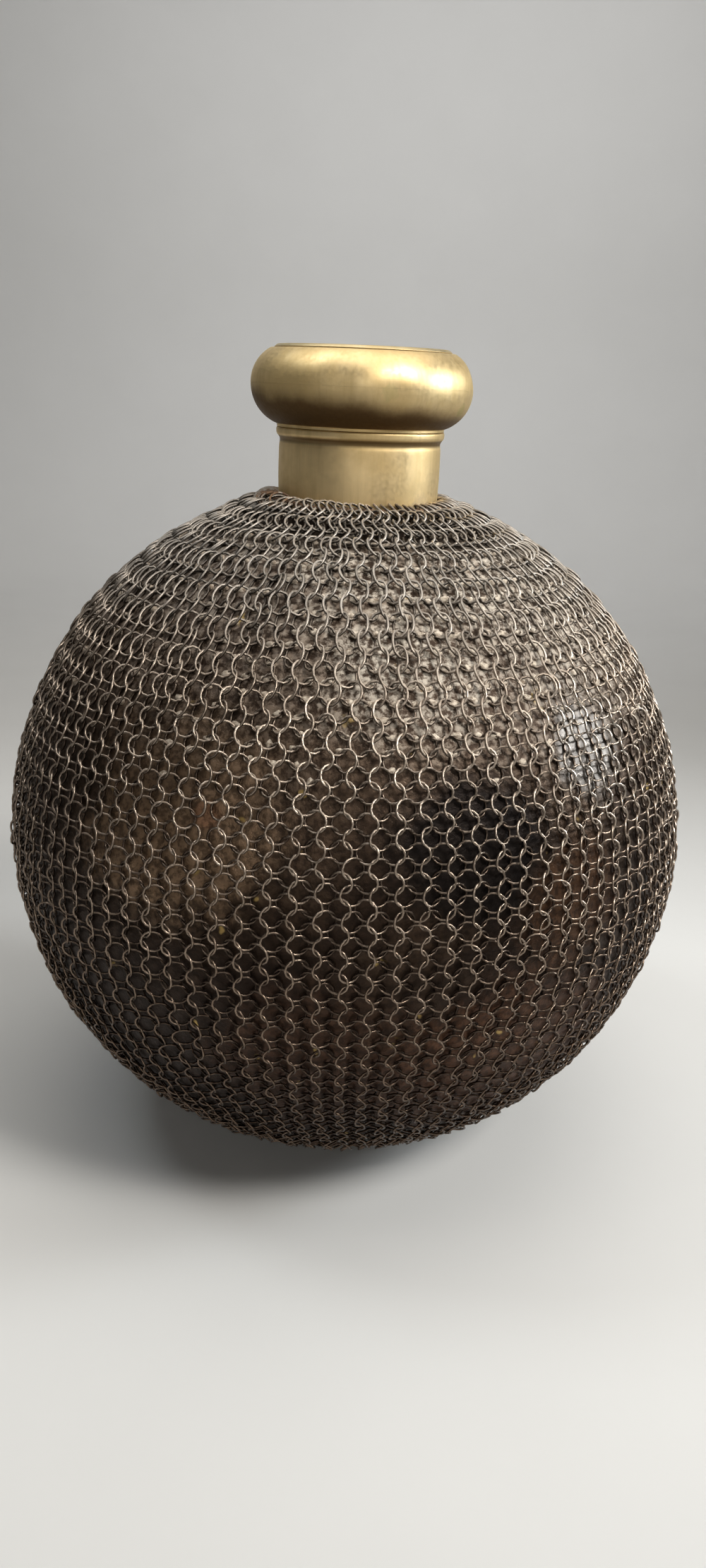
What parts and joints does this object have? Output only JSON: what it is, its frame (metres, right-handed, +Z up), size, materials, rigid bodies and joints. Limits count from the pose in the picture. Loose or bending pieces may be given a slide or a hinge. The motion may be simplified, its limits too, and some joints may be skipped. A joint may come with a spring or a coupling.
{
  "type": "bottle vase",
  "caption": "Round beaten-brass bottle vase with a short neck and hollow doughnut lip, its globe dressed in close iron chain mail; stands flat and holds water or stems.",
  "frame": {"origin": "on the floor, under the middle of the pot", "axes": "+Z up along the neck, -Y towards the picture's viewer, +X to the viewer's right"},
  "size_m": [0.4692, 0.4692, 0.5467],
  "materials": {
    "globe_brass": "dark brown patina with pale dust caked on the shoulder and a few golden glints",
    "neck_brass": "aged yellow brass, softly polished, with faint upright streaks and small pits",
    "lip_brass": "aged yellow brass, softly dented, brown underneath, with small green stains",
    "rim_brass": "aged yellow brass, worn bright on the edge",
    "draw_wire_iron": "rusted iron wire",
    "mail_iron": "dull grey-brown iron rings, worn bright on top and rusty near the neck"
  },
  "bodies": {
    "root": {"body_lower_bowl": "globe_brass", "body_upper_dome": "globe_brass", "neck_collar": "neck_brass", "lip_lower_shell": "lip_brass", "lip_upper_shell": "lip_brass", "mouth_sleeve": "rim_brass", "neck_draw_wire": "draw_wire_iron", "mail_side_net": "mail_iron", "mail_base_net": "mail_iron"}
  },
  "joints": []
}
